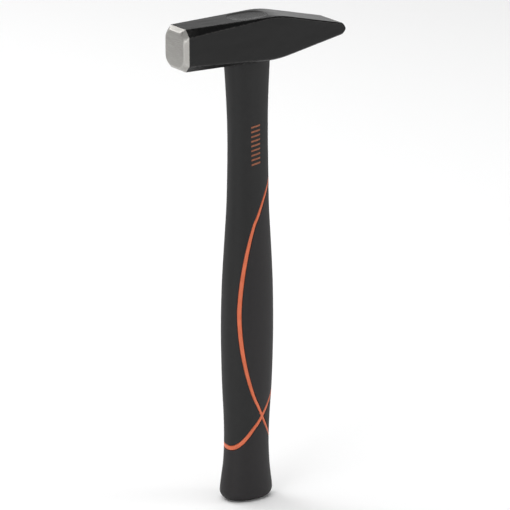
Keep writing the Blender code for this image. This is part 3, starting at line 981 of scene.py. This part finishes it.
studio = {
    "turn": 31.97,                 # camera, degrees round towards the face from square on
    "rise": 16.32,
    "distance": 2.539,
    "lens": 279.8,
    "sensor": 36,
    "sight": 50,                   # the camera sees this far, in metres
    "aimOffset": (0.04 * mm, 0, 2.03 * mm),
    "floorSize": 40,
    "floorTone": 0.95,
    "floorRough": 0.9,
    "floorMirror": 0.1,
    # brightness from straight down to straight up
    "sky": ((0.0, 0.80), (0.49, 0.80), (0.50, 1.25), (0.55, 0.90), (0.61, 0.60), (0.67, 0.29),
            (0.80, 0.18), (1.0, 0.08)),
    "skyStrength": 0.80,
    "backdrop": 1.25,              # the plain white seen behind, before the strength
    # name: place, aim, width, height, power, shows in reflections
    "lamps": {
        "softboxLeft": ((-1.5, -1.0, 0.55), (0, 0, 0.18), 0.5, 1.3, 7.4, True),
        "softboxRight": ((1.5, -0.9, 0.45), (0, 0, 0.18), 0.45, 1.3, 6.6, True),
        "softboxBack": ((-0.65, 1.9, 1.45), (0, 0, 0.30), 1.2, 0.9, 17, True),
        "softboxCorner": ((-1.2, -0.35, 1.6), (0, 0, 0.30), 0.6, 0.6, 3.2, True),
        "overhead": ((0, 0.2, 3.2), (0, 0, 0), 4.0, 4.0, 100, False),
    },
}


def makeCamera():
    middle = (cadLow + cadHigh) / 2
    aim = middle + Vector(studio["aimOffset"])
    turn, rise = math.radians(studio["turn"]), math.radians(studio["rise"])
    back = Vector((-math.sin(turn) * math.cos(rise), -math.cos(turn) * math.cos(rise), math.sin(rise)))
    bpy.ops.object.camera_add(location=aim + back * studio["distance"])
    camera = bpy.context.object
    camera.rotation_euler = back.to_track_quat("Z", "Y").to_euler()
    camera.data.lens = studio["lens"]
    camera.data.sensor_width = studio["sensor"]
    camera.data.clip_end = studio["sight"]
    bpy.context.scene.camera = camera


def makeLamp(name, place, aim, width, height, power, reflected):
    place, aim = Vector(place), Vector(aim)
    bpy.ops.object.light_add(type="AREA", location=place)
    lamp = bpy.context.object
    lamp.name = name
    lamp.rotation_euler = (place - aim).to_track_quat("Z", "Y").to_euler()
    lamp.data.shape = "RECTANGLE"
    lamp.data.size, lamp.data.size_y = width, height
    lamp.data.energy = power
    lamp.visible_glossy = reflected


def makeStudio():
    deselectAll()
    bpy.ops.mesh.primitive_plane_add(size=studio["floorSize"])
    floor = bpy.context.object
    floor.name = "floor"
    material, tree, shader = newMaterial("paleFloor")
    shader.inputs["Base Color"].default_value = (*[studio["floorTone"]] * 3, 1)
    shader.inputs["Roughness"].default_value = studio["floorRough"]
    shader.inputs["Specular IOR Level"].default_value = studio["floorMirror"]
    floor.data.materials.append(material)
    world = bpy.data.worlds.new("studio")
    bpy.context.scene.world = world
    world.use_nodes = True
    tree = world.node_tree
    background = tree.nodes["Background"]
    background.inputs["Strength"].default_value = studio["skyStrength"]
    where = addNode(tree, "ShaderNodeTexCoord", (-6, 0))
    split = addNode(tree, "ShaderNodeSeparateXYZ", (-5, 0))
    lift = addNode(tree, "ShaderNodeMapRange", (-4, 0), {"From Min": -1.0})
    shade = addNode(tree, "ShaderNodeValToRGB", (-3, 0))
    rampOf(shade, studio["sky"])
    seen = addNode(tree, "ShaderNodeLightPath", (-3, 2))
    backdrop = addNode(tree, "ShaderNodeMix", (-1, 0), data_type="RGBA")
    backdrop.inputs["B"].default_value = (*[studio["backdrop"]] * 3, 1)
    tree.links.new(where.outputs["Generated"], split.inputs["Vector"])
    tree.links.new(split.outputs["Z"], lift.inputs["Value"])
    tree.links.new(lift.outputs["Result"], shade.inputs["Fac"])
    tree.links.new(shade.outputs["Color"], backdrop.inputs["A"])
    tree.links.new(seen.outputs["Is Camera Ray"], backdrop.inputs["Factor"])
    tree.links.new(backdrop.outputs["Result"], background.inputs["Color"])
    for name, lamp in studio["lamps"].items():
        makeLamp(name, *lamp)
    bpy.context.scene.view_settings.view_transform = "Standard"


makeCamera()
makeStudio()
print("studio lit")
